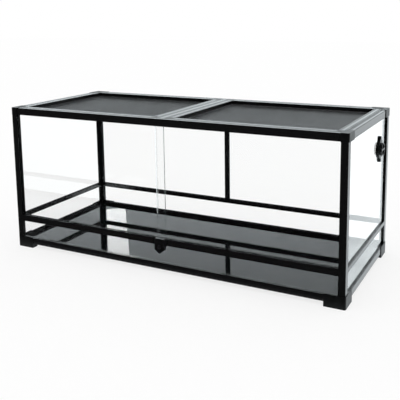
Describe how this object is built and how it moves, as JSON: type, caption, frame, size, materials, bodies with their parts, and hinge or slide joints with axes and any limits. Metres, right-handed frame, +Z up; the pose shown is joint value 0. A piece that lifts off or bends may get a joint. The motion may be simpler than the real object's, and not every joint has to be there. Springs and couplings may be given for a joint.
{
  "type": "reptile terrarium",
  "caption": "Raised glass terrarium with a black rail frame, sliding front doors with a lock, lift-off screen lids and a cable port.",
  "frame": {"origin": "centre of the footprint on the ground, under the middle of the enclosure", "axes": "+X to the right along the front, +Y to the back, +Z up"},
  "size_m": [1.226, 0.5183, 0.512],
  "materials": {
    "frame_black": "satin",
    "moulded_black": "satin",
    "clear_glass": "gloss",
    "black_glass": "gloss",
    "black_rubber": "matte",
    "clear_plastic": "gloss",
    "black_mesh": "matte",
    "lock_steel": "satin"
  },
  "bodies": {
    "enclosure": {"foot_front_left": "moulded_black", "foot_front_right": "moulded_black", "foot_back_left": "moulded_black", "foot_back_right": "moulded_black", "base_rail_front": "frame_black", "base_rail_back": "frame_black", "base_rail_left": "frame_black", "base_rail_right": "frame_black", "floor_panel": "black_glass", "post_front_left": "frame_black", "post_front_right": "frame_black", "post_back_left": "frame_black", "post_back_right": "frame_black", "mid_rail_front": "frame_black", "mid_rail_back": "frame_black", "mid_rail_left": "frame_black", "mid_rail_right": "frame_black", "top_rail_front": "frame_black", "top_rail_back": "frame_black", "top_rail_left": "frame_black", "top_rail_right": "frame_black", "top_corner_front_left": "moulded_black", "top_corner_front_right": "moulded_black", "top_corner_back_left": "moulded_black", "top_corner_back_right": "moulded_black", "lid_crossbar": "frame_black", "back_centre_bar": "frame_black", "lower_pane_front": "clear_glass", "lower_pane_back": "clear_glass", "lower_pane_left": "clear_glass", "lower_pane_right": "clear_glass", "upper_pane_left": "clear_glass", "upper_pane_right": "clear_glass", "back_pane_left": "clear_glass", "back_pane_right": "clear_glass", "setting_blocks": "black_rubber", "front_pane_channels": "black_rubber", "door_glides": "black_rubber", "door_jamb_left": "frame_black", "door_jamb_right": "frame_black", "lock_bracket": "moulded_black", "lock_body": "moulded_black", "port_plate": "moulded_black", "port_flange": "moulded_black", "port_screws": "lock_steel"},
    "left_door": {"door_left": "clear_glass"},
    "right_door": {"door_right": "clear_glass", "door_seal_strip": "clear_plastic"},
    "left_lid": {"left_lid_rails": "frame_black", "left_lid_corners": "moulded_black", "left_lid_mesh": "black_mesh", "left_lid_spline": "black_rubber"},
    "right_lid": {"right_lid_rails": "frame_black", "right_lid_corners": "moulded_black", "right_lid_mesh": "black_mesh", "right_lid_spline": "black_rubber"},
    "lock_barrel_body": {"lock_barrel": "lock_steel"},
    "port_shutter_body": {"port_shutter": "moulded_black"}
  },
  "joints": [
    {"name": "left_door_slide", "type": "slide", "parent": "enclosure", "child": "left_door", "axis": [1, 0, 0], "range_m": [0, 0.56]},
    {"name": "right_door_slide", "type": "slide", "parent": "enclosure", "child": "right_door", "axis": [-1, 0, 0], "range_m": [0, 0.56]},
    {"name": "left_lid_lift", "type": "slide", "parent": "enclosure", "child": "left_lid", "axis": [0, 0, 1], "range_m": [0, 0.06]},
    {"name": "right_lid_lift", "type": "slide", "parent": "enclosure", "child": "right_lid", "axis": [0, 0, 1], "range_m": [0, 0.06]},
    {"name": "lock_turn", "type": "hinge", "parent": "enclosure", "child": "lock_barrel_body", "pos_m": [0, -0.2585, 0.094], "axis": [0, 1, 0], "range_deg": [0, 90]},
    {"name": "port_shutter_turn", "type": "hinge", "parent": "enclosure", "child": "port_shutter_body", "pos_m": [0.603, 0.143, 0.39], "axis": [1, 0, 0], "range_deg": [0, 90]}
  ]
}
